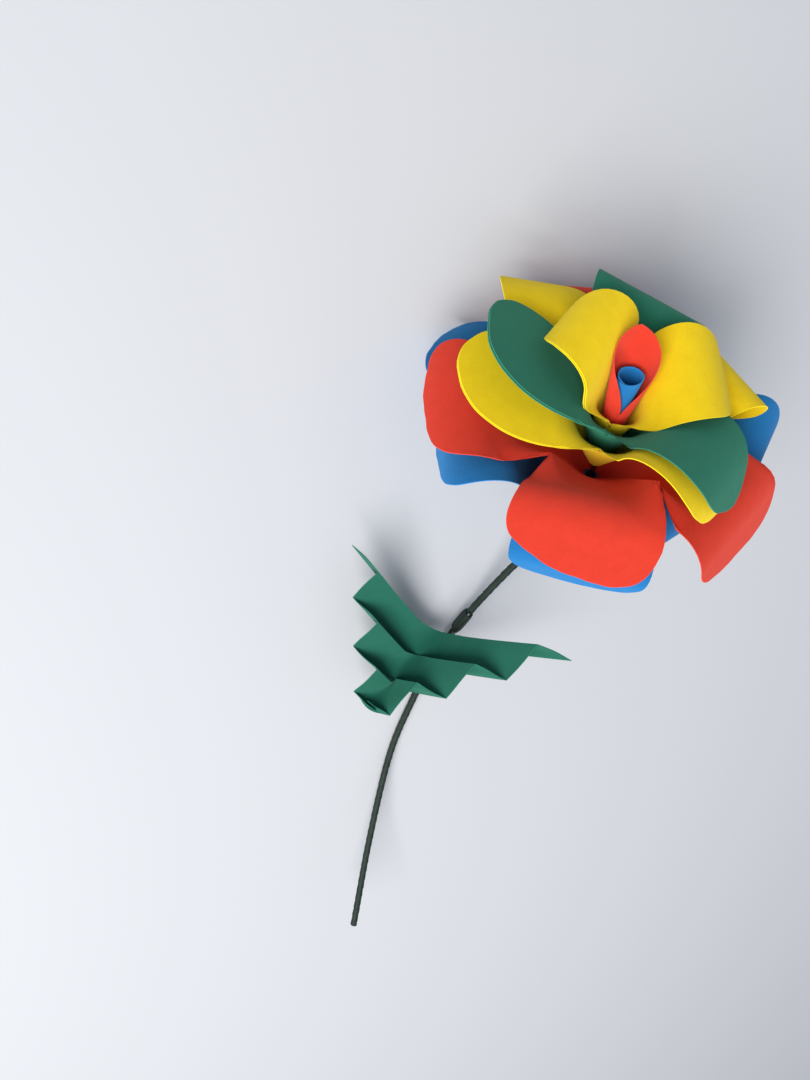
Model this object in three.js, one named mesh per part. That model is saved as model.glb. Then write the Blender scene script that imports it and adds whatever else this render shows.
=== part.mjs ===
// A twirled paper rose on a taped wire stem, with one pleated paper leaf, lying on a table.
// Squares of coloured paper are folded in eight and cut to rosettes of eight petals. Each cone
// of the head is a piece of such a rosette, glued round on itself: the fewer petals it keeps,
// the narrower it stands. The petals are then curled back round a pencil.
// Units are millimetres and degrees, +Z is up.
import * as THREE from "three";

// ---- driving dimensions -------------------------------------------------------------------
const PAPER = 0.3; // thickness of a sheet
const GAP = 0.3; // clearance between pieces that touch on the real flower
const PETAL = 75; // from the middle of a rosette to the tip of a petal
const EIGHTH = 45; // angle of one petal in the flat rosette
const ROOT = 14; // up to this distance from the middle a petal keeps to its cone
const HINGE = 20; // where a petal's own tilt and turn start
const FREE = 40; // from here on a petal follows its own curl
const CREASE = 12; // width of the bent band beside a join or a notch
const WIRE_R = 0.8; // florist's wire
const TAPE_HOLE = 1.25; // inside of the tape wound on it
const TAPE_R = 1.6; // outside of that tape
const STALK_R = 0.6; // the leaf's own thinner wire
const BAND = 0.4; // wall of the tape that binds it on
const PLEAT = 11; // width of a pleat of the leaf
const PLEATS = 7;
const LEAF_HALF = 76; // half the long side of the leaf's triangle

const { degToRad, smoothstep, clamp, lerp } = THREE.MathUtils;
const vec = (x, y, z) => new THREE.Vector3(x, y, z);

// ---- the petal cones, from the outside in -------------------------------------------------
// eighths: petals on the piece that was cut. keeps: petals it takes to go round the cone once,
// which sets the cone's angle. The petals over are glued on top of the first ones.
// first: azimuth of the first petal. lift: height of the cone's tip above the flower's.
// notch: where the cuts between petals end, measured from the middle of the rosette.
// corners: 2 is a round petal, and more is a squarer one.
// hole: where the sheet begins, clear of the wire. reach: where a trimmed petal ends.
// Each curl is one petal: how far it tilts out of the cone and turns sideways, where its curl
// starts, the radius it was rolled to, how far round it goes, and how askew.
const curl = (tilt, turn, start, radius, round, askew) => {
  return { tilt, turn, start, radius, round, askew };
};
const cones = [
  {
    name: "blue_outer_petals",
    color: "#1f80c4",
    eighths: 7,
    keeps: 6,
    first: 5,
    lift: -4,
    notch: 37,
    hole: 3.2,
    corners: 4,
    curls: [
      curl(-2, 5, 42, 9.5, 150, 0),
      curl(-11, -10, 33, 7.5, 250, 11),
      curl(3, -26, 46, 9.5, 120, -17),
      curl(3, 0, 45, 11, 150, 2),
      curl(14, 19, 58, 16.5, 150, -23),
      curl(-8, -4, 44, 12.5, 120, -14),
    ],
  },
  {
    name: "red_petals",
    color: "#e8452f",
    eighths: 6,
    keeps: 5,
    first: 8,
    lift: 3,
    notch: 40,
    hole: 3.8,
    corners: 7,
    curls: [
      curl(10, -1, 47, 9, 95, 12),
      curl(22, -13, 48, 9, 100, 6),
      curl(9, 45, 46, 12, 150, -14),
      curl(16, -13, 56, 11, 150, -6),
      curl(14, -3, 54, 15, 150, 1),
    ],
  },
  {
    name: "yellow_petals",
    color: "#f8d516",
    eighths: 5,
    keeps: 4,
    first: -45,
    lift: 10,
    notch: 27,
    hole: 4.6,
    corners: 2,
    curls: [
      curl(-8, -19, 31, 16, 50, 17),
      curl(-8, 17, 34, 15, 160, 16),
      curl(20, 1, 45, 8.5, 160, 3),
      curl(19, 15, 48, 13.5, 145, -28),
    ],
  },
  {
    name: "green_petals",
    color: "#2a8268",
    eighths: 4,
    keeps: 3,
    first: -60,
    lift: 12,
    notch: 28,
    hole: 5,
    corners: 2.5,
    curls: [
      curl(-13, -20, 31, 8, 50, -10),
      curl(2, 8, 32, 16, 125, 17),
      curl(15, 6, 46, 8.5, 170, -13),
    ],
  },
  {
    name: "yellow_inner_petals",
    color: "#f8d516",
    eighths: 3,
    keeps: 2,
    first: -91,
    lift: 12.5,
    notch: 25,
    hole: 7,
    corners: 1.5,
    curls: [
      curl(-10, -10, 45, 9.5, 165, 2),
      curl(-11, 27, 34, 12.5, 145, -9),
    ],
  },
  {
    name: "red_bud_roll",
    color: "#e03c26",
    eighths: 1,
    keeps: 0.97,
    first: 199,
    lift: 5.5,
    notch: 29,
    hole: 28,
    reach: 61,
    corners: 1.2,
    columns: 28,
    rows: 7,
  },
  {
    name: "blue_centre_roll",
    color: "#1f80c4",
    eighths: 1,
    keeps: 0.59,
    first: 180,
    lift: 3.5,
    notch: 44,
    hole: 26,
    reach: 50,
    corners: 5,
    columns: 24,
    rows: 6,
  },
];

// Where the edge of a petal lies, as a distance from the rosette's middle, for a direction that
// is a share (0 at the petal's middle line, 1 at its join) of the way to the next petal.
function petalEdge(cone, share) {
  const reach = cone.reach ?? PETAL;
  return cone.notch + (reach - cone.notch) * Math.pow(1 - Math.pow(share, cone.corners), 1 / 2.2);
}

// A flat point of a petal, at a distance and an angle from the rosette's middle, on the cone.
function onCone(cone, centre, distance, angle) {
  const sine = cone.keeps / 8;
  const azimuth = centre + angle / sine;
  return vec(
    distance * sine * Math.cos(azimuth),
    distance * sine * Math.sin(azimuth),
    distance * Math.sqrt(1 - sine * sine),
  );
}

// The same point on the petal's own sheet: flat up to the start of its curl, then bent
// outwards round a cylinder that lies across the petal, and straight again after the curl.
function onCurl(cone, bend, centre, distance, angle) {
  const slope = Math.asin(cone.keeps / 8);
  const tilt = slope + degToRad(bend.tilt);
  const azimuth = centre + degToRad(bend.turn);
  const up = vec(
    Math.sin(tilt) * Math.cos(azimuth),
    Math.sin(tilt) * Math.sin(azimuth),
    Math.cos(tilt),
  );
  const side = vec(-Math.sin(azimuth), Math.cos(azimuth), 0);
  const outward = side.clone().cross(up);
  const askew = degToRad(bend.askew);
  const along = distance * Math.cos(angle) - HINGE;
  const across = distance * Math.sin(angle);
  const run = along * Math.cos(askew) + across * Math.sin(askew);
  const width = across * Math.cos(askew) - along * Math.sin(askew);
  const past = Math.max(run - (bend.start - HINGE), 0);
  const bent = Math.min(past / bend.radius, degToRad(bend.round));
  const rest = past - bent * bend.radius;
  const forward = run - past + bend.radius * Math.sin(bent) + rest * Math.cos(bent);
  const out = bend.radius * (1 - Math.cos(bent)) + rest * Math.sin(bent);
  const runAxis = up.clone().multiplyScalar(Math.cos(askew)).addScaledVector(side, Math.sin(askew));
  const widthAxis = side.clone().multiplyScalar(Math.cos(askew)).addScaledVector(up, -Math.sin(askew));
  return onCone(cone, centre, HINGE, 0)
    .addScaledVector(runAxis, forward)
    .addScaledVector(widthAxis, width)
    .addScaledVector(outward, out);
}

// How far a flat point has left its cone: not at all near the middle and along the joins
// between petals, and wholly once it is past them.
function freedom(cone, distance, angle) {
  const half = degToRad(EIGHTH / 2);
  const bend = half - Math.abs(angle);
  const alongJoin = distance * Math.cos(bend);
  const fromJoin = distance * Math.sin(bend);
  const notch = cone.notch / Math.cos(half);
  const clear = alongJoin < notch ? fromJoin : Math.hypot(fromJoin, alongJoin - notch);
  const beside = Math.sin((clamp(clear / CREASE, 0, 1) * Math.PI) / 2);
  return beside * smoothstep(distance * Math.cos(angle), ROOT, FREE);
}

// One cone of petals as lines of points from its hole to its edge. Each turn lies inside the
// turn before it, so the glued petals and the rolls are a spiral: standoff is how far a line
// stands out from the plain cone.
function coneSheet(cone) {
  const { columns = 8, rows = 9, curls = [null] } = cone;
  const half = degToRad(EIGHTH / 2);
  const onePetal = (2 * Math.PI) / cone.keeps;
  const sheet = [];
  for (let petal = 0; petal < cone.eighths; petal++) {
    const bend = curls[petal % curls.length];
    const centre = degToRad(cone.first) + petal * onePetal;
    for (let c = petal === 0 ? 0 : 1; c <= columns; c++) {
      const even = (2 * c) / columns - 1;
      const share = 1 - Math.pow(1 - Math.abs(even), 1.35);
      const angle = Math.sign(even) * share * half;
      const edge = petalEdge(cone, share);
      const points = [];
      for (let r = 0; r <= rows; r++) {
        const distance = lerp(cone.hole, edge, Math.pow(r / rows, 0.7));
        const point = onCone(cone, centre, distance, angle);
        if (bend) {
          const curled = onCurl(cone, bend, centre, distance, angle);
          point.lerp(curled, freedom(cone, distance, angle));
        }
        point.z += cone.lift;
        points.push(point);
      }
      const turns = (petal + 0.5 + angle / degToRad(EIGHTH) - cone.eighths / 2) / cone.keeps;
      sheet.push({ points, standoff: -turns * (PAPER + GAP) });
    }
  }
  return sheet;
}

// ---- a sheet of paper as one closed solid -------------------------------------------------
// The sheet's points are moved half its thickness to either side. On a fold they go further,
// so that the paper keeps its thickness between the folds.
function paperSolid(sheet) {
  const columns = sheet.length;
  const rows = sheet[0].points.length;
  const at = (c, r) => sheet[clamp(c, 0, columns - 1)].points[clamp(r, 0, rows - 1)];
  const faceNormal = (c, r, step) => {
    const along = at(c + 1, r).clone().sub(at(c - 1, r));
    const last = r + step < 0 || r + step > rows - 1;
    const way = last ? -step : step;
    const across = at(c, r + way).clone().sub(at(c, r)).multiplyScalar(way);
    return along.cross(across).normalize();
  };
  const positions = [];
  for (const side of [0.5, -0.5]) {
    for (let c = 0; c < columns; c++) {
      for (let r = 0; r < rows; r++) {
        const after = faceNormal(c, r, 1);
        const normal = faceNormal(c, r, -1).add(after).normalize();
        const reach = (side * PAPER + sheet[c].standoff) / Math.max(normal.dot(after), 0.4);
        positions.push(...at(c, r).clone().addScaledVector(normal, reach).toArray());
      }
    }
  }
  const front = (c, r) => c * rows + r;
  const back = (c, r) => columns * rows + front(c, r);
  const index = [];
  const quad = (a, b, c, d) => index.push(a, b, c, a, c, d);
  for (let c = 0; c + 1 < columns; c++) {
    for (let r = 0; r + 1 < rows; r++) {
      quad(front(c, r), front(c + 1, r), front(c + 1, r + 1), front(c, r + 1));
      quad(back(c, r), back(c, r + 1), back(c + 1, r + 1), back(c + 1, r));
    }
    quad(front(c, 0), back(c, 0), back(c + 1, 0), front(c + 1, 0));
    const r = rows - 1;
    quad(front(c + 1, r), back(c + 1, r), back(c, r), front(c, r));
  }
  for (let r = 0; r + 1 < rows; r++) {
    const c = columns - 1;
    quad(front(c, r), back(c, r), back(c, r + 1), front(c, r + 1));
    quad(front(0, r + 1), back(0, r + 1), back(0, r), front(0, r));
  }
  const solid = new THREE.BufferGeometry();
  solid.setAttribute("position", new THREE.Float32BufferAttribute(positions, 3));
  solid.setIndex(index);
  solid.computeVertexNormals();
  return solid;
}

// ---- the leaf -----------------------------------------------------------------------------
// Half of a square, pleated parallel to its long side and bent in the middle, so that each fold
// is an L of two arms with a round corner. Every fold is one pleat's width shorter than the one
// before it, which gives the zigzag edge. In the leaf's own frame +X runs along one arm, +Y is
// beside the other, and +Z is the side both arms lean to.
const LEAN = 0.8; // how far the arms lean out of the plane of the L
const CORNER = 0.3; // share of an arm that the round corner takes
function leafSheet(columns = 14) {
  const arms = [vec(0.6, 0.02, LEAN).normalize(), vec(-0.36, 0.5, LEAN).normalize()];
  const stack = vec(-4.1, -3.9, 3.4); // from one fold to the next
  const depth = 9.4; // of the zigzag, across the stack
  const middle = vec(-2, 1, -10); // where the folds would meet
  const sheet = [];
  for (let c = 0; c <= columns; c++) {
    const even = (2 * c) / columns - 1;
    const place = Math.sign(even) * Math.pow(Math.abs(even), 1.2);
    const root = Math.hypot(place, CORNER);
    const shares = [(root + place) / 2, (root - place) / 2];
    const facing = degToRad(225 + 45 * clamp(place / 0.35, -1, 1));
    const points = [];
    for (let fold = 0; fold <= PLEATS; fold++) {
      const length = Math.max(LEAF_HALF - PLEAT * fold, 2);
      const side = (fold % 2 === 0 ? 0.5 : -0.5) * depth;
      const point = stack.clone().multiplyScalar(fold).add(middle);
      arms.forEach((arm, i) => point.addScaledVector(arm, shares[i] * length));
      points.push(point.add(vec(side * Math.cos(facing), side * Math.sin(facing), 0)));
    }
    sheet.push({ points, standoff: 0 });
  }
  return sheet;
}

// ---- wires and tape -----------------------------------------------------------------------
const curveThrough = (points) => new THREE.CatmullRomCurve3(points.map((p) => vec(...p)));

function circle(radius, sides, x = 0) {
  return Array.from({ length: sides }, (_, i) => {
    const angle = (2 * Math.PI * (i + 0.5)) / sides;
    return new THREE.Vector2(x + radius * Math.cos(angle), radius * Math.sin(angle));
  });
}

function swept(outline, hole, path, steps) {
  const shape = new THREE.Shape(outline);
  if (hole) shape.holes.push(new THREE.Path(hole));
  return new THREE.ExtrudeGeometry(shape, { steps, extrudePath: path });
}

// A stretch of a longer curve, from one share of its length to another.
class Stretch extends THREE.Curve {
  constructor(whole, from, to) {
    super();
    Object.assign(this, { whole, from, to });
  }

  getPoint(t, target) {
    return this.whole.getPointAt(lerp(this.from, this.to, t), target);
  }
}

// From inside the bud, down through the tips of the cones, then off to one side.
const stemPath = curveThrough([
  [0, 0, 44],
  [0, 0, 20],
  [0, 0, -2],
  [2, -3, -22],
  [13, -16, -53],
  [35, -30, -90],
  [55, -34, -116],
  [70, -35, -136],
  [100, -30, -166],
  [133, -22, -192],
]);
const TAPE_FROM = 0.13; // share of the stem's length above the tape

// Where the leaf's wire is bound on: the stem runs down through this point, and the wire lies
// on its outer side.
const JOINT_AT = 0.45; // share of the stem's length
const JOINT_LENGTH = 10;
const BAND_GAP = 0.42; // wider than GAP, because the stem bends a little inside the band
const joint = stemPath.getPointAt(JOINT_AT);
const down = stemPath.getTangentAt(JOINT_AT);
const outer = vec(0.86, 0.1, 0.5);
outer.addScaledVector(down, -outer.dot(down)).normalize();
const besideStem = TAPE_R + GAP + STALK_R + 0.05;
const stalkPoint = (along, out) => {
  return joint.clone().addScaledVector(down, along).addScaledVector(outer, out).toArray();
};
const stalkPath = curveThrough([
  stalkPoint(-6, besideStem),
  stalkPoint(0, besideStem),
  stalkPoint(4.5, besideStem),
  stalkPoint(6.9, besideStem + 0.9),
  stalkPoint(7.8, besideStem + 2.8),
  stalkPoint(7, besideStem + 5.7),
]);

// The outline of a band stretched round the stem and the wire beside it.
function bandOutline(clearance) {
  const thick = TAPE_R + clearance;
  const thin = STALK_R + clearance;
  const lean = Math.acos((thick - thin) / besideStem);
  const arc = (radius, x, from, to) => {
    return Array.from({ length: 7 }, (_, i) => {
      const angle = lerp(from, to, i / 6);
      return new THREE.Vector2(x + radius * Math.cos(angle), radius * Math.sin(angle));
    });
  };
  return [...arc(thin, besideStem, -lean, lean), ...arc(thick, 0, lean, 2 * Math.PI - lean)];
}

function jointBand() {
  const shape = new THREE.Shape(bandOutline(BAND_GAP + BAND));
  shape.holes.push(new THREE.Path(bandOutline(BAND_GAP)));
  const band = new THREE.ExtrudeGeometry(shape, { depth: JOINT_LENGTH, bevelEnabled: false });
  band.translate(0, 0, -JOINT_LENGTH / 2);
  const across = down.clone().cross(outer);
  band.applyMatrix4(new THREE.Matrix4().makeBasis(outer, across, down));
  return band.translate(joint.x, joint.y, joint.z);
}

// ---- assembly -----------------------------------------------------------------------------
const flower = new THREE.Group();
flower.name = "paper_flower";

function piece(name, geometry, color, roughness, into = flower) {
  const material = new THREE.MeshStandardMaterial({ color, roughness, metalness: 0 });
  const mesh = new THREE.Mesh(geometry, material);
  mesh.name = name;
  into.add(mesh);
  return mesh;
}

for (const cone of cones) piece(cone.name, paperSolid(coneSheet(cone)), cone.color, 0.9);
piece("stem_wire", swept(circle(WIRE_R, 8), null, stemPath, 44), "#7d8580", 0.45);
const taped = new Stretch(stemPath, TAPE_FROM, 1);
piece("stem_tape", swept(circle(TAPE_R, 8), circle(TAPE_HOLE, 8), taped, 42), "#2b4a35", 0.8);
piece("leaf_wire", swept(circle(STALK_R, 6), null, stalkPath, 10), "#7d8580", 0.45);
piece("joint_tape", jointBand(), "#2b4a35", 0.8);

const leafGroup = new THREE.Group();
leafGroup.position.set(35, -31, -87);
leafGroup.rotation.set(degToRad(-11), degToRad(29.5), degToRad(118));
flower.add(leafGroup);
piece("pleated_leaf", paperSolid(leafSheet()), "#1f6f5a", 0.9, leafGroup);

// ---- lying on the table -------------------------------------------------------------------
// The flower can't stand, so it lies on two of its blue petals and on the bend of its stem.
const tableUp = vec(0.674, 0.568, 0.4725).normalize();
const towardsHead = vec(-0.55, 0.1, 0.8);
const lengthways = towardsHead.addScaledVector(tableUp, -towardsHead.dot(tableUp)).normalize();
const sideways = tableUp.clone().cross(lengthways);
const lying = new THREE.Matrix4().makeBasis(lengthways, sideways, tableUp).transpose();
flower.quaternion.setFromRotationMatrix(lying);
flower.updateMatrixWorld(true);
const box = new THREE.Box3().setFromObject(flower, true);
const middle = box.getCenter(vec(0, 0, 0));
flower.position.set(-middle.x, -middle.y, -box.min.z);

export default flower;
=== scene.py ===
# %% [markdown]
# A twirled paper rose lies on a pale table. Five cones of curled petals stand one inside the
# other round a bud of two rolled petals, on a taped wire stem with one pleated leaf. The CAD
# model already says how big everything is and where it lies. This script loads it as a fixed
# frame and gives each piece its fine surface and its finish.

# %% Load the frame
import math

import bpy
import numpy as np
from mathutils import Matrix, Vector


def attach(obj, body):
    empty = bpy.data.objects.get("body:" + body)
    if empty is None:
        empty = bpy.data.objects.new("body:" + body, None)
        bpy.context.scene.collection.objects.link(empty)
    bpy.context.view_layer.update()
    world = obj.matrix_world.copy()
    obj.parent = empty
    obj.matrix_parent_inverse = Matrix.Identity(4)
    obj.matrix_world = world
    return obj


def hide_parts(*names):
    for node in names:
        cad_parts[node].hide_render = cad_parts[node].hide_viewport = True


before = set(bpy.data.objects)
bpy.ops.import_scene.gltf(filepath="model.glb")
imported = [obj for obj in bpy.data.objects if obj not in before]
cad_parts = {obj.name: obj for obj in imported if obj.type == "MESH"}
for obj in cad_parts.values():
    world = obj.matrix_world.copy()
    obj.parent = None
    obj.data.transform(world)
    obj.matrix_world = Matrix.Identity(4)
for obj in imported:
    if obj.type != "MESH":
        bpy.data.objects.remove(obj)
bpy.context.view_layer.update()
print("CAD nodes:", sorted(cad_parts))

# %% [markdown]
# Paper shows its thickness only at its cut edges, so every sheet here is a real closed solid:
# a grid of points moved half a thickness to either side, with a rim all round. One function
# does this for petals, rolls and leaf. Modifiers such as Solidify could do it too, but then
# the petals glued on top of each other could not be set off from each other as a spiral.

# %% Sizes of the paper, in millimetres
PAPER = 0.3
LAYER = 0.6  # from one turn of a sheet to the next one inside it
PETAL = 75.0  # from the middle of a rosette to the tip of a petal
HALF = math.radians(22.5)  # half the angle of one petal in the flat rosette
ROOT, FREE = 14.0, 40.0  # up a petal, where it begins to leave its cone and is free of it
CREASE = 12.0  # from a join sideways to where a petal is free
HINGE = 20.0  # up a petal, where it tilts and turns
MM = 0.001
SHARP = math.radians(32)  # edges bent further than this are shaded as sharp


def smoothstep(x):
    """0 below 0, 1 above 1, and 3x^2 - 2x^3 between them."""
    x = np.clip(x, 0.0, 1.0)
    return x * x * (3.0 - 2.0 * x)


def grid_normals(points):
    """Unit normals of a grid of points: the cross product of its two directions of rise."""
    normals = np.cross(np.gradient(points, axis=0), np.gradient(points, axis=1))
    return normals / np.linalg.norm(normals, axis=-1, keepdims=True)


def sheet_faces(columns, rows):
    """Quads of a closed shell of two grids: a front, a back turned round, and the rim."""
    front = np.arange(columns * rows).reshape(columns, rows)
    back = front + columns * rows
    a, b, c, d = front[:-1, :-1], front[1:, :-1], front[1:, 1:], front[:-1, 1:]
    top = np.stack([a, b, c, d], -1).reshape(-1, 4)
    under = top[:, ::-1] + columns * rows
    loop = np.concatenate([front[:-1, 0], front[-1, :-1], front[:0:-1, -1], front[0, :0:-1]])
    beyond = np.roll(loop, -1)
    shift = back[0, 0]
    rim = np.stack([beyond, loop, loop + shift, beyond + shift], -1)
    return np.concatenate([top, under, rim])


print("a grid of 3 by 3 points closes with", len(sheet_faces(3, 3)), "quads")

# %% [markdown]
# The flower's own axis runs from the tip of its cones through its bud. The pieces are worked
# out round that axis, in millimetres, and only at the end laid down on the table, because a
# cone is easiest to write where it stands upright.

# %% The flower's own frame, and how it lies
TABLE_UP = Vector((0.674, 0.568, 0.4725)).normalized()  # the table's upward direction in it
TOWARDS_HEAD = Vector((-0.55, 0.1, 0.8))
TIP = Vector((84.541, -11.916, 39.107))  # tip of the cones on the table, in millimetres
lengthways = (TOWARDS_HEAD - TOWARDS_HEAD.dot(TABLE_UP) * TABLE_UP).normalized()
LYING = Matrix((lengthways, TABLE_UP.cross(lengthways), TABLE_UP))


def lay_down(points):
    """Points of the flower's own frame, turned and moved to the table, in metres."""
    return (points @ np.array(LYING).T + np.array(TIP)) * MM


print("the bud looks along", [round(value, 2) for value in LYING @ Vector((0, 0, 1))])

# %% [markdown]
# On the real flower every petal, roll and leaf is flat paper first. So each sheet here also
# remembers where each of its points was on the flat sheet, and how far it was from the cut
# edge. The finishes read both. A finished object stays at the origin, with its place in its
# mesh, so that nothing slides when the model is exported.

# %% From a grid of points to a sheet of paper
def new_piece(name, mesh):
    """Links a finished mesh as a piece that rides with the flower."""
    mesh.shade_smooth()
    mesh.set_sharp_from_angle(angle=SHARP)
    piece = bpy.data.objects.new(name, mesh)
    bpy.context.scene.collection.objects.link(piece)
    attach(piece, "root")


def sheet_piece(name, points, standoff, flat, cut, thickness=PAPER):
    """A closed sheet from a grid: each point moves along its normal by half the thickness
    plus its standoff. flat is the place on the flat sheet and cut the distance from its
    nearest cut edge, both in millimetres; they become a UV map and an attribute."""
    columns, rows = points.shape[:2]
    normals = grid_normals(points)
    faces_out = points + normals * (standoff + thickness / 2)[..., None]
    faces_in = points + normals * (standoff - thickness / 2)[..., None]
    vertices = lay_down(np.concatenate([faces_out.reshape(-1, 3), faces_in.reshape(-1, 3)]))
    faces = sheet_faces(columns, rows)
    mesh = bpy.data.meshes.new(name)
    mesh.from_pydata(vertices, [], faces)
    corners = faces.reshape(-1)
    both = np.concatenate([flat.reshape(-1, 2), flat.reshape(-1, 2)])
    mesh.uv_layers.new(name="flat_sheet").data.foreach_set("uv", (both[corners] * MM).ravel())
    edge = mesh.attributes.new("cut_edge", "FLOAT", "POINT")
    edge.data.foreach_set("value", np.concatenate([cut.ravel(), cut.ravel()]).astype(np.float32))
    print(name, len(faces) * 2, "triangles")
    new_piece(name, mesh)


print("paper", PAPER, "mm thick, shaded sharp past", round(math.degrees(SHARP)), "degrees")

# %% [markdown]
# The camera looks down on the lying flower from in front of its head, as one bends over a
# table. It comes before the pieces, so that the view can be checked with the bare frame.

# %% Camera
CAMERA_AT = Vector((188.7, 0.0, 228.9))  # in the flower's own frame
LOOKS_ALONG = Vector((-0.515, -0.172, -0.840))
IMAGE_UP = Vector((-0.755, -0.373, 0.539))
LENS_TO_HEIGHT = 0.7778  # focal length over the height of the picture

forward = (LYING @ LOOKS_ALONG).normalized()
right = forward.cross(LYING @ IMAGE_UP).normalized()
turned = Matrix((right, right.cross(forward), -forward)).transposed().to_4x4()
camera_data = bpy.data.cameras.new("camera")
camera_data.sensor_fit = "VERTICAL"
camera_data.sensor_height = 24.0
camera_data.lens = LENS_TO_HEIGHT * camera_data.sensor_height
camera_data.clip_start = 0.01
camera = bpy.data.objects.new("camera", camera_data)
camera.matrix_world = Matrix.Translation((LYING @ CAMERA_AT + TIP) * MM) @ turned
bpy.context.scene.collection.objects.link(camera)
bpy.context.scene.camera = camera
print("camera height", round(camera.matrix_world.translation.z, 3), "m")

# %% [markdown]
# A square of paper is folded in eight and cut to a rosette of eight petals. Some petals are
# cut out, and what is left is glued round on itself to a cone: with n petals going round, the
# slope of the cone has a sine of n/8. Each petal is then curled back round a pencil. The
# curl is a bend round a cylinder, so the paper is never stretched, and near the joins
# between petals the sheet keeps to its cone. A petal could be pushed into shape by hand or
# by a cloth simulation, but paper doesn't stretch as those do. So all of it is a function of
# a distance and an angle on the flat rosette.

# %% How a petal is cut
ROUNDNESS = 2.2  # how steeply the edge leaves a join: 1 is straight, 2 as a circle does
WOBBLE = ((0.35, 4.0), (0.16, 11.0), (0.08, 27.0))  # millimetres, and radians in half a petal


def petal_edge(cone, share):
    """Distance from the rosette's middle to the cut edge: from the notch to the reach as
    (1 - share^corners)^(1/roundness), where share is 0 in the petal's middle and 1 at its
    join to the next petal."""
    reach = cone.get("reach", PETAL)
    rise = (1.0 - share ** cone["corners"]) ** (1 / ROUNDNESS)
    return cone["notch"] + (reach - cone["notch"]) * rise


def scissor_wobble(share, angle, seed):
    """A few tenths of a millimetre that a hand with scissors goes astray: three waves of
    the angle, fading to nothing at the joins."""
    phases = np.random.default_rng(seed).uniform(0, 2 * np.pi, 3)
    waves = sum(size * np.sin(count * angle / HALF + phase)
                for (size, count), phase in zip(WOBBLE, phases))
    return waves * (1.0 - share**6)


blue_cut = {"notch": 37, "corners": 4}
shares = np.array([0.0, 0.5, 0.9, 1.0])
print("a blue petal's edge, mm from the middle:", petal_edge(blue_cut, shares).round(1))

# %% How it stands on its cone, and how it curls
def on_cone(cone, centre, distance, angle):
    """The flat point rolled on the cone: the angle grows by 8/n and the slope is asin(n/8)."""
    sine = cone["keeps"] / 8
    azimuth = centre + angle / sine
    rise = distance * math.sqrt(1 - sine * sine)
    return np.stack([distance * sine * np.cos(azimuth), distance * sine * np.sin(azimuth), rise], -1)


def rolled(past, radius, most):
    """How far forward and out a strip comes that bends round a cylinder after a point:
    radius * sin and radius * (1 - cos) of its angle, and straight on after the most."""
    bent = np.minimum(past / radius, most)
    rest = past - bent * radius
    forward = radius * np.sin(bent) + rest * np.cos(bent)
    out = radius * (1 - np.cos(bent)) + rest * np.sin(bent)
    return forward, out


def on_curl(cone, bend, centre, distance, angle):
    """The flat point on its petal's own sheet: tilted and turned at the hinge, straight up
    to the start of the curl and then rolled outwards round a cylinder lying askew across it."""
    tilt, turn, start, radius, most, askew = bend
    slope = math.asin(cone["keeps"] / 8) + math.radians(tilt)
    azimuth = centre + math.radians(turn)
    outwards = np.array([math.cos(azimuth), math.sin(azimuth), 0.0])
    up = math.sin(slope) * outwards + np.array([0.0, 0.0, math.cos(slope)])
    side = np.array([-math.sin(azimuth), math.cos(azimuth), 0.0])
    normal = np.cross(side, up)
    skew = math.radians(askew)
    along = distance * np.cos(angle) - HINGE
    across = distance * np.sin(angle)
    run = along * math.cos(skew) + across * math.sin(skew)
    width = across * math.cos(skew) - along * math.sin(skew)
    past = np.maximum(run - (start - HINGE), 0.0)
    ahead, out = rolled(past, radius, math.radians(most))
    run_axis = up * math.cos(skew) + side * math.sin(skew)
    width_axis = side * math.cos(skew) - up * math.sin(skew)
    hinge = on_cone(cone, centre, np.array(HINGE), np.array(0.0))
    return (hinge + (run - past + ahead)[..., None] * run_axis
            + width[..., None] * width_axis + out[..., None] * normal)


def freedom(cone, distance, angle):
    """0 where the sheet keeps to its cone, near its middle and along the joins, and 1 where
    the petal is free: a quarter sine over the crease times a smooth step up the petal."""
    bend = HALF - np.abs(angle)
    along, beside = distance * np.cos(bend), distance * np.sin(bend)
    notch = cone["notch"] / math.cos(HALF)
    clear = np.where(along < notch, beside, np.hypot(beside, along - notch))
    up = smoothstep((distance * np.cos(angle) - ROOT) / (FREE - ROOT))
    return np.sin(np.clip(clear / CREASE, 0, 1) * np.pi / 2) * up


print("5 mm past the start of a 10 mm curl, forward and out:",
      np.round(rolled(np.array(5.0), 10.0, math.pi), 2).tolist())

# %% [markdown]
# A cone is one grid, because it is one sheet. Its columns crowd together at the joins between
# petals, where the cut edge dives into the notch, and its rows crowd towards that edge, where
# the curl is tightest.

# %% The whole cone as one grid
COLUMNS, ROWS = 56, 48  # of each petal's part of the grid
TO_JOINS, TO_EDGE = 2.0, 0.75  # how strongly columns and rows crowd: 1 is even
LAST_ROW = 0.995  # one more row, this share of the way to the cut edge


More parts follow.
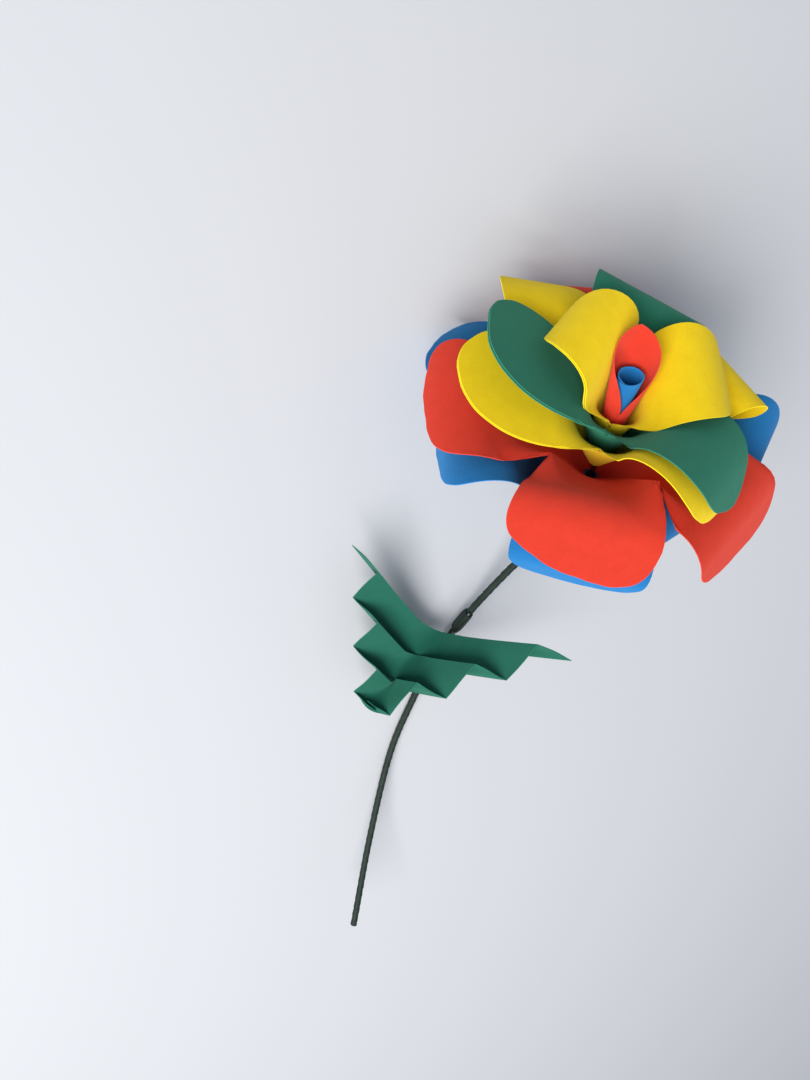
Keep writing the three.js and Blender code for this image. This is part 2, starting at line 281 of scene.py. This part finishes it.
def cone_piece(cone):
    """All petals of a cone side by side, from the hole to the cut edge. Each turn lies one
    layer inside the turn before it, so glued petals and rolls are a spiral."""
    even = np.linspace(-1, 1, COLUMNS + 1)
    share = 1 - (1 - np.abs(even)) ** TO_JOINS
    rise = (np.arange(ROWS + 1) / ROWS) ** TO_EDGE
    rise = np.insert(rise, ROWS, LAST_ROW)
    blocks = []
    for petal in range(cone["eighths"]):
        first = 0 if petal == 0 else 1
        angle = (np.sign(even) * share * HALF)[first:, None]
        near = share[first:, None]
        bend = cone["curls"][petal % len(cone["curls"])] if "curls" in cone else None
        seed = cone["seed"] + petal % math.ceil(cone["keeps"])
        edge = petal_edge(cone, near) + scissor_wobble(near, angle, seed)
        distance = cone["hole"] + (edge - cone["hole"]) * rise
        angle = np.broadcast_to(angle, distance.shape)
        centre = math.radians(cone["first"]) + petal * 2 * np.pi / cone["keeps"]
        points = on_cone(cone, centre, distance, angle)
        if bend:
            free = freedom(cone, distance, angle)[..., None]
            points = points * (1 - free) + on_curl(cone, bend, centre, distance, angle) * free
        turns = (petal + 0.5 + angle / (2 * HALF) - cone["eighths"] / 2) / cone["keeps"]
        around = angle + petal * 2 * HALF
        flat = np.stack([distance * np.cos(around), distance * np.sin(around)], -1)
        blocks.append((points, -turns * LAYER, flat, edge - distance))
    points, standoff, flat, cut = (np.concatenate(part) for part in zip(*blocks))
    points[..., 2] += cone["lift"]
    sheet_piece("visual_" + cone["node"], points, standoff, flat, cut)


narrowest = math.degrees(HALF) * (2 / COLUMNS) ** TO_JOINS
print("columns are", round(narrowest, 3), "degrees wide beside a join")

# %% [markdown]
# The five cones and the two rolls differ only in these numbers. A curl is tilt, turn, start,
# radius, how far round and askew, in degrees and millimetres, one for each petal as the hand
# left it. The rolls have no curls: each is one cut-out petal wound round on itself.

# %% The cones, from the outside in
CONES = [
    {"node": "blue_outer_petals", "eighths": 7, "keeps": 6, "first": 5, "lift": -4, "notch": 37,
     "hole": 3.2, "corners": 4, "seed": 10, "curls": [
         (-2, 5, 42, 9.5, 150, 0),
         (-11, -10, 33, 7.5, 250, 11),
         (3, -26, 46, 9.5, 120, -17),
         (3, 0, 45, 11, 150, 2),
         (14, 19, 58, 16.5, 150, -23),
         (-8, -4, 44, 12.5, 120, -14)]},
    {"node": "red_petals", "eighths": 6, "keeps": 5, "first": 8, "lift": 3, "notch": 40,
     "hole": 3.8, "corners": 7, "seed": 20, "curls": [
         (10, -1, 47, 9, 95, 12),
         (22, -13, 48, 9, 100, 6),
         (9, 45, 46, 12, 150, -14),
         (16, -13, 56, 11, 150, -6),
         (14, -3, 54, 15, 150, 1)]},
    {"node": "yellow_petals", "eighths": 5, "keeps": 4, "first": -45, "lift": 10, "notch": 27,
     "hole": 4.6, "corners": 2, "seed": 30, "curls": [
         (-8, -19, 31, 16, 50, 17),
         (-8, 17, 34, 15, 160, 16),
         (20, 1, 45, 8.5, 160, 3),
         (19, 15, 48, 13.5, 145, -28)]},
    {"node": "green_petals", "eighths": 4, "keeps": 3, "first": -60, "lift": 12, "notch": 28,
     "hole": 5, "corners": 2.5, "seed": 40, "curls": [
         (-13, -20, 31, 8, 50, -10),
         (2, 8, 32, 16, 125, 17),
         (15, 6, 46, 8.5, 170, -13)]},
    {"node": "yellow_inner_petals", "eighths": 3, "keeps": 2, "first": -91, "lift": 12.5, "notch": 25,
     "hole": 7, "corners": 1.5, "seed": 50, "curls": [
         (-10, -10, 45, 9.5, 165, 2),
         (-11, 27, 34, 12.5, 145, -9)]},
    {"node": "red_bud_roll", "eighths": 1, "keeps": 0.97, "first": 199, "lift": 5.5, "notch": 29,
     "hole": 28, "reach": 61, "corners": 1.2, "seed": 60},
    {"node": "blue_centre_roll", "eighths": 1, "keeps": 0.59, "first": 180, "lift": 3.5, "notch": 44,
     "hole": 26, "reach": 50, "corners": 5, "seed": 70},
]
for cone in CONES:
    cone_piece(cone)

# %% [markdown]
# The leaf is half a square of paper, pleated seven times parallel to its long side and then
# bent in the middle round its wire, so that each fold line is an L of two arms. Every fold is
# one pleat shorter than the one before it, because the square was cut cornerwise: this gives
# the zigzag edge. Between two folds the paper bulges a little, as a pressed pleat does. An
# Array modifier could repeat one pleat, but no two of these are the same length, so the folds
# are worked out first and the paper is stretched between them.

# %% Pleated leaf
PLEAT, PLEATS, LEAF_HALF = 11.0, 7, 76.0  # width and number of pleats, half the longest fold
PLEAT_DEPTH = 9.4  # from the upper folds to the lower ones
ARMS = [(0.6, 0.02, 0.8), (-0.36, 0.5, 0.8)]  # the directions of the two arms of each fold
STACK = (-4.1, -3.9, 3.4)  # from one fold to the next
MIDDLE = (-2.0, 1.0, -10.0)  # where the longest fold bends
CORNER = 0.3  # how softly the folds bend round at the wire, as a share of an arm
FACING, FACING_TURN, TURNED_AT = 225, 45, 0.35  # how pleats turn from one arm to the other
SHORTEST = 2.0  # half the length of the last fold, so that the corner has an edge
BULGE = 0.45  # how far the paper between two folds bows, at most
LEAF_AT = (35.0, -31.0, -87.0)
LEAF_TURN = (-11.0, 29.5, 118.0)  # degrees round X, Y and Z


def leaf_points(columns=150, steps=8):
    """Folds stand side by side along the stack, turn about in a zigzag, and each point of a
    fold is its two arms' shares: (root + place) / 2 and (root - place) / 2, with root =
    hypot(place, corner), which rounds the corner of the L."""
    arms = np.array(ARMS)
    arms /= np.linalg.norm(arms, axis=1, keepdims=True)
    even = np.linspace(-1, 1, columns + 1)
    place = (np.sign(even) * np.abs(even) ** 1.2)[:, None]
    root = np.hypot(place, CORNER)
    facing = np.radians(FACING + FACING_TURN * np.clip(place / TURNED_AT, -1, 1))[..., None]
    fold = np.arange(PLEATS + 1)
    length = np.maximum(LEAF_HALF - PLEAT * fold, SHORTEST)
    side = np.where(fold % 2 == 0, 0.5, -0.5)[:, None] * PLEAT_DEPTH
    along = ((root + place) / 2 * length)[..., None] * arms[0]
    along = along + ((root - place) / 2 * length)[..., None] * arms[1]
    across = np.concatenate([np.cos(facing), np.sin(facing), 0 * facing], -1)
    folds = np.array(STACK) * fold[:, None] + MIDDLE + along + side * across
    # each pleat runs straight from one fold to the next, with a low bulge between them
    step = np.linspace(0, 1, steps + 1)[:-1]
    share = step[None, None, :, None]
    between = folds[:, :-1, None] * (1 - share) + folds[:, 1:, None] * share
    points = np.concatenate([between.reshape(columns + 1, -1, 3), folds[:, -1:]], 1)
    row = np.append((fold[:-1, None] + step).reshape(-1), PLEATS)
    reach = np.interp(row, fold, length)
    flat = np.stack(np.broadcast_arrays(place * reach, row * PLEAT), -1)
    ends = reach - np.abs(flat[..., 0])
    cut = np.minimum(ends, np.minimum(flat[..., 1], PLEATS * PLEAT - flat[..., 1]))
    bulge = BULGE * np.sin(np.pi * (row % 1)) * np.sin(row * 2.4 + 3 * place + 0.6)
    return points, bulge, flat, cut


points, bulge, flat, cut = leaf_points()
turn = (Matrix.Rotation(math.radians(LEAF_TURN[0]), 3, "X")
        @ Matrix.Rotation(math.radians(LEAF_TURN[1]), 3, "Y")
        @ Matrix.Rotation(math.radians(LEAF_TURN[2]), 3, "Z"))
sheet_piece("visual_pleated_leaf", points @ np.array(turn).T + LEAF_AT, bulge, flat, cut)

# %% [markdown]
# The stem is florist's wire bound with crepe tape. Half-inch tape is wound on a slant and
# each turn moves on a third of its width, so it lies three deep. Here it is a real strip:
# a long narrow grid whose place round the wire is its turn, and whose distance from the wire
# grows across its width by one thickness a turn. A bevelled curve with a bump could stand in
# for it, but then the edges of the tape would not stand up from the stem as they do.

# %% A curve through points, and a tube along it
STEM = [(0, 0, 44), (0, 0, 20), (0, 0, -2), (2, -3, -22), (13, -16, -53), (35, -30, -90),
        (55, -34, -116), (70, -35, -136), (100, -30, -166), (133, -22, -192)]
WIRE, STALK = 0.8, 0.6  # radii of the stem's wire and the leaf's wire
NIP = 0.12  # how far the cutter rounds off a wire's end
TAPE, TAPE_TURN, TAPE_WIDTH = 0.14, 0.18, 12.0  # thickness, rise a turn, width
TAPE_GAP = 0.12  # from the wire to the middle of the innermost tape
TAPE_ROUND = 8.0  # the length of tape in one turn
TAPE_FROM, JOINT_AT = 0.13, 0.45  # shares of the stem's length
ZERO_TURN = (0.2, 1.0, 0.1)  # no path runs along this, so turns are counted from it


class Path:
    """A centripetal Catmull-Rom curve through points. Knots are the square root of a chord
    apart, and the slope at a point is the slope before it, plus the slope after it, minus
    the slope from its one neighbour to the other."""

    def __init__(self, points):
        p = np.array(points, float)
        p = np.concatenate([[2 * p[0] - p[1]], p, [2 * p[-1] - p[-2]]])
        gap = np.sqrt(np.linalg.norm(np.diff(p, axis=0), axis=1))[:, None]
        slope = np.diff(p, axis=0) / gap
        slope = slope[:-1] + slope[1:] - (p[2:] - p[:-2]) / (gap[1:] + gap[:-1])
        t = np.linspace(0, 1, 100, endpoint=False)[:, None, None]
        curve = ((2 * t**3 - 3 * t**2 + 1) * p[1:-2] + (3 * t**2 - 2 * t**3) * p[2:-1]
                 + (t**3 - 2 * t**2 + t) * slope[:-1] * gap[1:-1]
                 + (t**3 - t**2) * slope[1:] * gap[1:-1])
        self.curve = np.concatenate([curve.transpose(1, 0, 2).reshape(-1, 3), p[-2:-1]])
        steps = np.linalg.norm(np.diff(self.curve, axis=0), axis=1)
        self.at = np.concatenate([[0], np.cumsum(steps)])
        self.length = self.at[-1]
        tangent = np.gradient(self.curve, self.at, axis=0)
        tangent /= np.linalg.norm(tangent, axis=1, keepdims=True)
        across = np.cross(tangent, ZERO_TURN)
        across /= np.linalg.norm(across, axis=1, keepdims=True)
        self.fields = {"place": self.curve, "tangent": tangent, "across": across,
                       "second": np.cross(tangent, across)}

    def get(self, field, along):
        """The field at a distance along the curve, in a straight line between samples."""
        values = self.fields[field]
        return np.stack([np.interp(along, self.at, values[:, i]) for i in range(3)], -1)

    def around(self, along, angle, radius):
        """Points beside the curve: place + radius (across cos angle + second sin angle)."""
        angle, radius = angle[..., None], np.asarray(radius)[..., None]
        spoke = self.get("across", along) * np.cos(angle) + self.get("second", along) * np.sin(angle)
        return self.get("place", along) + radius * spoke


def wire_piece(name, path, radius, rings, sides=20):
    """A round wire with flat ends whose rims are nipped in a little by the cutter."""
    along = np.linspace(0, path.length, rings)
    along = np.concatenate([along[:1], along[:1] + NIP, along[1:-1], along[-1:] - NIP, along[-1:]])
    reach = np.full(len(along), radius)
    reach[[0, -1]] -= NIP
    angle = np.linspace(0, 2 * np.pi, sides, endpoint=False)
    grid = path.around(along[:, None] + 0 * angle, angle + 0 * along[:, None], reach[:, None] + 0 * angle)
    index = np.arange(grid.shape[0] * sides).reshape(-1, sides)
    beyond = np.roll(index, -1, axis=1)
    quads = np.stack([index[:-1], beyond[:-1], beyond[1:], index[1:]], -1).reshape(-1, 4)
    faces = quads.tolist() + [index[0, ::-1].tolist(), index[-1].tolist()]
    mesh = bpy.data.meshes.new(name)
    mesh.from_pydata(lay_down(grid.reshape(-1, 3)), [], faces)
    print(name, len(mesh.polygons), "faces")
    new_piece(name, mesh)


stem_path = Path(STEM)
print("the stem's wire is", round(stem_path.length), "mm long")

# %% The stem's wire and its winding
wire_piece("visual_stem_wire", stem_path, WIRE, 160)


PUCKER, SWELL = 0.018, 0.02  # depths of the fine creases and of the slow swelling


def stretch_creases(turn, across, seed):
    """Puckers of stretched crepe: two fine waves across the tape, swaying with slower waves
    and slanting with the turn, plus a slow swelling along the tape."""
    phases = np.random.default_rng(seed).uniform(0, 2 * np.pi, 4)
    sway = 0.8 * np.sin(across * 3.1 + phases[0]) + 0.5 * np.sin(turn * 2.3 + phases[1])
    waves = np.sin(across * 9.0 + sway + turn * 1.7) + 0.7 * np.sin(across * 16.0 - sway + turn * 5.1)
    swelling = np.sin(turn * 0.83 + phases[2]) * np.sin(turn * 2.9 + phases[3])
    return PUCKER * waves + SWELL * swelling


STEPS, CUT_OFF = 26, 0.06  # steps in one turn, and the part of a turn cut off at each end
start, pitch = TAPE_FROM * stem_path.length, TAPE_WIDTH / 3
covered = stem_path.length - start
turns = (covered + TAPE_WIDTH) / pitch
turn = np.linspace(CUT_OFF, turns - CUT_OFF, int(turns * STEPS))[:, None]
begin = turn * pitch - TAPE_WIDTH
low, high = np.clip(begin, 0, None), np.clip(begin + TAPE_WIDTH, None, covered)
along = low + (high - low) * np.linspace(0, 1, 11)
radius = WIRE + TAPE_GAP + TAPE_TURN * (along - begin) / pitch
turn = turn + 0 * along
points = stem_path.around(start + along, 2 * np.pi * turn, radius)
flat = np.stack([turn * TAPE_ROUND, along - begin], -1)
cut = np.minimum(flat[..., 1], TAPE_WIDTH - flat[..., 1])
creases = stretch_creases(turn, along - begin, 5)
sheet_piece("visual_stem_tape", points, creases, flat, cut, TAPE)

# %% [markdown]
# The leaf's own thinner wire lies beside the stem and is bound to it by a few turns of the
# same tape, one on top of the other. The band is pulled tight, so it follows the two wires
# closely, with a flat stretch from one to the other on either side.

# %% The leaf's wire and the binding
joint = stem_path.get("place", JOINT_AT * stem_path.length)
down = stem_path.get("tangent", JOINT_AT * stem_path.length)
outer = np.array([0.86, 0.1, 0.5])
outer -= outer @ down * down
outer /= np.linalg.norm(outer)
BESIDE = 2.55  # from the stem's middle to the middle of the leaf's wire
TAPED = 1.6  # radius of the taped stem
JOINT_LENGTH, BAND_TURNS = 10.0, 4.3
BAND_GAP, BAND_LAYER = 0.1, 0.165  # from the wires to the first turn, and from turn to turn
BAND_DRAWN_IN = 0.25  # how far the band's edges are drawn in at its last turn
BAND_ROUND = 13.0  # the length of tape in one turn
STALK_POINTS = [(-6, 0), (0, 0), (4.5, 0), (6.9, 0.9), (7.8, 2.8), (7, 5.7)]
stalk_path = Path([joint + along * down + (BESIDE + out) * outer for along, out in STALK_POINTS])
wire_piece("visual_leaf_wire", stalk_path, STALK, 40, sides=14)

BAND_STEPS, BAND_BEGINS, BAND_SLANT = 72, 1.2, 0.7  # steps in a turn; two angles
turn = np.linspace(0, BAND_TURNS, int(BAND_TURNS * BAND_STEPS))[:, None]
share = np.linspace(0, 1, 21)[None]
angle = (2 * np.pi * turn + BAND_BEGINS + BAND_SLANT * share) % (2 * np.pi)
lean = math.acos((TAPED - STALK) / BESIDE)
thin = (angle < lean) | (angle > 2 * np.pi - lean)
drawn_in = BAND_DRAWN_IN * np.abs(2 * share - 1) ** 6 * turn / BAND_TURNS
snug = BAND_GAP + BAND_LAYER * turn - drawn_in
reach = np.where(thin, STALK, TAPED) + snug
beside = np.where(thin, BESIDE, 0.0) + reach * np.cos(angle)
across = reach * np.sin(angle)
BAND_ASTRAY = 0.5  # how far its turns go astray along the wires
slide = (share - 0.5) * (JOINT_LENGTH - 1.2) + BAND_ASTRAY * np.sin(turn * 2.1 + 0.4)
points = (joint + slide[..., None] * down + beside[..., None] * outer
          + across[..., None] * np.cross(down, outer))
flat = np.stack(np.broadcast_arrays(turn * BAND_ROUND, share * JOINT_LENGTH), -1)
cut = np.minimum(flat[..., 1], JOINT_LENGTH - flat[..., 1])
sheet_piece("visual_joint_tape", points, stretch_creases(turn, slide, 9), flat, cut, TAPE)

# %% [markdown]
# Dyed construction paper has no gloss at all. Its pulp is a little uneven in tone over a few
# millimetres, with finer fibres pressed into the face and a felt of cut fibres along each
# edge, which catches the light and looks paler. All patterns run on the flat sheet, so they
# bend with the paper, and their sizes are given in millimetres.

# %% Helpers for the finishes
def linear(colour):
    """From a hex colour to linear light: ((c + 0.055) / 1.055)^2.4, or c / 12.92 if dark."""
    parts = [int(colour[i:i + 2], 16) / 255 for i in (1, 3, 5)]
    return [((c + 0.055) / 1.055) ** 2.4 if c > 0.04 else c / 12.92 for c in parts] + [1.0]


def add(tree, kind, inputs=(), **settings):
    """Adds a node with its settings, and gives each input a value or a link."""
    node = tree.nodes.new(kind)
    for name, value in settings.items():
        setattr(node, name, value)
    for name, value in dict(inputs).items():
        if isinstance(value, bpy.types.NodeSocket):
            tree.links.new(value, node.inputs[name])
        else:
            node.inputs[name].default_value = value
    return node


def finish(name, colour, roughness, **values):
    """A material with its shader's plain values set on the shader itself."""
    material = bpy.data.materials.new(name)
    material.use_nodes = True
    tree = material.node_tree
    shader = tree.nodes["Principled BSDF"]
    shader.inputs["Base Color"].default_value = linear(colour)
    shader.inputs["Roughness"].default_value = roughness
    for socket, value in values.items():
        shader.inputs[socket.replace("_", " ")].default_value = value
    return material, tree, shader


def lumps(tree, place, size, detail=2.0, stretch=(1, 1, 1), turn=0.0):
    """Uneven lumps of so many millimetres across, stretched and turned on the sheet."""
    scale = [factor / (size * MM) for factor in stretch]
    turned = add(tree, "ShaderNodeMapping", {"Vector": place, "Rotation": (0, 0, math.radians(turn))})
    scaled = add(tree, "ShaderNodeMapping", {"Vector": turned.outputs[0], "Scale": scale})
    cloudy = {"Vector": scaled.outputs[0], "Scale": 1.0, "Detail": detail}
    return add(tree, "ShaderNodeTexNoise", cloudy).outputs["Fac"]


def graded(low, high, to_low, to_high):
    """Settings that grade a pattern from low to high into another range."""
    return {"From Min": low, "From Max": high, "To Min": to_low, "To Max": to_high}


def tinted(tree, under, tint, pattern, grades):
    """The colour under, with a tint laid over it as strongly as the graded pattern says."""
    strength = add(tree, "ShaderNodeMapRange", {"Value": pattern, **grades}).outputs["Result"]
    return add(tree, "ShaderNodeMix", {0: strength, 6: under, 7: tint}, data_type="RGBA").outputs[2]


FADED = 0.02  # how far a lighter shade turns towards white


def shade(colour, factor):
    """A linear colour times a factor, and a little towards white where that is above 1."""
    return [min(1.0, c * factor + FADED * max(factor - 1, 0)) for c in linear(colour)[:3]] + [1.0]


print("yellow paper in linear light:", np.round(linear("#fddb0e"), 3).tolist())

# %% [markdown]
# Construction paper is wood pulp dyed right through and rolled without any coating, so it
# scatters light almost evenly at every angle, with no mirror of a lamp in it, and only at a
# grazing angle a faint bloom from its loose fibres. Its cut edge shows the same dye, but the
# torn fibres there catch more light.

# %% Dyed construction paper
def paper(name, colour):
    """Pulp clouded over 4.5 mm, fibres 1.6 mm long pressed in two ways, a fine grain, and a
    painted highlight along the cut edges, where a felt of cut fibres catches the light. Real
    fibres and grain are too fine to show, so they are drawn as coarse as 0.2 and 0.32 mm."""
    material, tree, shader = finish(name, colour, 0.92, Specular_IOR_Level=0.22,
                                    Diffuse_Roughness=0.7, Sheen_Weight=0.06, Sheen_Roughness=0.6)
    sheet = add(tree, "ShaderNodeUVMap", uv_map="flat_sheet").outputs["UV"]
    cloud = lumps(tree, sheet, 4.5)
    grain = lumps(tree, sheet, 0.32, 3.0)
    fibres = [lumps(tree, sheet, 1.6, 1.0, (1, 9, 1), turn) for turn in (20, -50)]
    fibre = add(tree, "ShaderNodeMath", {0: fibres[0], 1: fibres[1]}, operation="MAXIMUM").outputs[0]
    pulp = tinted(tree, shade(colour, 0.96), shade(colour, 1.04), cloud, graded(0.3, 0.7, 0, 1))
    speckled = tinted(tree, pulp, shade(colour, 1.3), fibre, graded(0.62, 0.78, 0, 0.5))
    grained = tinted(tree, speckled, shade(colour, 0.8), grain, graded(0.6, 0.35, 0, 0.5))
    edge = add(tree, "ShaderNodeAttribute", attribute_name="cut_edge").outputs["Fac"]
    # painted highlight: the colour turns paler within 0.3 mm of a cut edge, where the loose fibres catch
    # the light
    felt_and_edge_highlight = tinted(tree, grained, shade(colour, 1.8), edge, graded(0, 0.3, 0.38, 0))
    tree.links.new(felt_and_edge_highlight, shader.inputs["Base Color"])
    tooth = add(tree, "ShaderNodeMath", {0: grain, 1: fibre}, operation="ADD").outputs[0]
    bump = add(tree, "ShaderNodeBump", {"Height": tooth, "Strength": 0.8, "Distance": 0.035 * MM})
    tree.links.new(bump.outputs["Normal"], shader.inputs["Normal"])
    return material


FINISHES = {
    "blue_paper": paper("blue dyed paper", "#1f80c4"),
    "red_paper": paper("red dyed paper", "#e3402b"),
    "yellow_paper": paper("yellow dyed paper", "#fddb0e"),
    "green_paper": paper("green dyed paper", "#2a8268"),
    "leaf_paper": paper("leaf green dyed paper", "#1f6f5a"),
}
print("papers:", list(FINISHES))

# %% [markdown]
# Florist's tape is crepe paper soaked in wax: darker and a little shiny, with fine puckers
# across the strip that open as it is stretched. The wire is plain drawn steel, seen only at
# the cut end and where it reaches the leaf.

# %% Crepe tape and steel wire
def crepe_tape(name, colour):
    """Puckers 0.9 mm long and a quarter as wide, shinier where they stand up, with a painted
    highlight on their crests, and blotches of wax 5 mm across."""
    material, tree, shader = finish(name, colour, 0.62, Specular_IOR_Level=0.4, Diffuse_Roughness=0.3)
    strip = add(tree, "ShaderNodeUVMap", uv_map="flat_sheet").outputs["UV"]
    puckers = lumps(tree, strip, 0.9, 3.0, (4, 1, 1), 12)
    blotches = lumps(tree, strip, 5.0)
    toned = tinted(tree, shade(colour, 0.85), shade(colour, 1.2), blotches, graded(0.35, 0.65, 0, 1))
    # painted highlight on the crests of the puckers, where they stand up into the light
    pucker_highlight = tinted(tree, toned, shade(colour, 1.9), puckers, graded(0.55, 0.72, 0, 0.35))
    edge = add(tree, "ShaderNodeAttribute", attribute_name="cut_edge").outputs["Fac"]
    # paler within 0.35 mm of the tape's cut edges
    edge_lightened = tinted(tree, pucker_highlight, shade(colour, 2.2), edge, graded(0, 0.35, 0.3, 0))
    tree.links.new(edge_lightened, shader.inputs["Base Color"])
    dulled = add(tree, "ShaderNodeMapRange", {"Value": puckers, **graded(0.3, 0.7, 0.75, 0.5)})
    tree.links.new(dulled.outputs["Result"], shader.inputs["Roughness"])
    bump = add(tree, "ShaderNodeBump", {"Height": puckers, "Strength": 0.9, "Distance": 0.09 * MM})
    tree.links.new(bump.outputs["Normal"], shader.inputs["Normal"])
    return material


def drawn_steel(name, colour):
    """Drawn wire with its shine dulled unevenly, in spots of 0.6 mm."""
    material, tree, shader = finish(name, colour, 0.4, Metallic=1.0)
    place = add(tree, "ShaderNodeTexCoord").outputs["Object"]
    dull = lumps(tree, place, 0.6, 3.0)
    dulled = add(tree, "ShaderNodeMapRange", {"Value": dull, **graded(0.3, 0.7, 0.3, 0.55)})
    tree.links.new(dulled.outputs["Result"], shader.inputs["Roughness"])
    toned = tinted(tree, shade(colour, 0.75), shade(colour, 1.15), dull, graded(0, 1, 0, 1))
    tree.links.new(toned, shader.inputs["Base Color"])
    return material


FINISHES["wire"] = drawn_steel("drawn steel wire", "#7d8580")
FINISHES["floral_tape"] = crepe_tape("waxed crepe tape", "#16291f")
print("tape and wire:", list(FINISHES)[-2:])

# %% [markdown]
# The real flower is four colours of paper, with the bud's two rolls cut from the same red and
# blue as the petals, and a leaf of a duller green. One table says which finish each piece
# has. Each piece has a single finish and takes the place of the CAD node of the same name, so
# that the finish can be exchanged for another by its slot.

# %% Each piece gets its finish, and stands for its CAD node
PIECES = {
    "blue_outer_petals": "blue_paper", "red_petals": "red_paper", "yellow_petals": "yellow_paper",
    "green_petals": "green_paper", "yellow_inner_petals": "yellow_paper",
    "red_bud_roll": "red_paper", "blue_centre_roll": "blue_paper", "pleated_leaf": "leaf_paper",
    "stem_wire": "wire", "leaf_wire": "wire", "stem_tape": "floral_tape",
    "joint_tape": "floral_tape",
}
for node_name, slot_name in PIECES.items():
    piece = bpy.data.objects["visual_" + node_name]
    piece.data.materials.append(FINISHES[slot_name])
    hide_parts(node_name)
print(len(PIECES), "pieces,", len(FINISHES), "finishes")

# %% [markdown]
# A plain pale floor, one large soft light and an even pale room. The light stands high on
# the camera's side of the flower, a little to its left. It is big against the flower, so
# shadows between the petals stay soft, and the floor throws light back up into the curls. A
# small lamp would draw hard shadows that hide how the cones stand in each other.

# %% Floor, light and room
FLOOR_GAP = 0.3 * MM  # one thickness of paper, so that no petal's edge cuts into the floor
bpy.ops.mesh.primitive_plane_add(size=4.0, location=(0, 0, -FLOOR_GAP))
floor = bpy.context.object
floor.name = "floor"
floor.data.materials.append(finish("pale matt board", "#d0d2d7", 0.85)[0])

soft_data = bpy.data.lights.new("soft overhead light", "AREA")
soft_data.shape = "RECTANGLE"
soft_data.size, soft_data.size_y = 0.9, 0.7
soft_data.energy = 11.2
soft_data.color = (1.0, 0.98, 0.95)
soft_light = bpy.data.objects.new("soft overhead light", soft_data)
LIT_PLACE = Vector((0.03, 0.0, 0.04))  # where the light points, in metres
LIGHT_DISTANCE = 0.95
light_from = Vector((-0.3, 0.5, 0.85)).normalized()
soft_light.location = LIT_PLACE + LIGHT_DISTANCE * light_from
soft_light.rotation_euler = light_from.to_track_quat("Z", "Y").to_euler()
bpy.context.scene.collection.objects.link(soft_light)

room = bpy.data.worlds.new("pale room")
room.use_nodes = True
room.node_tree.nodes["Background"].inputs["Color"].default_value = (0.86, 0.92, 1.0, 1.0)
room.node_tree.nodes["Background"].inputs["Strength"].default_value = 0.42
bpy.context.scene.world = room
bpy.context.scene.view_settings.view_transform = "Standard"
print("light", round(soft_light.location.z, 2), "m above the table,", soft_data.energy, "W")
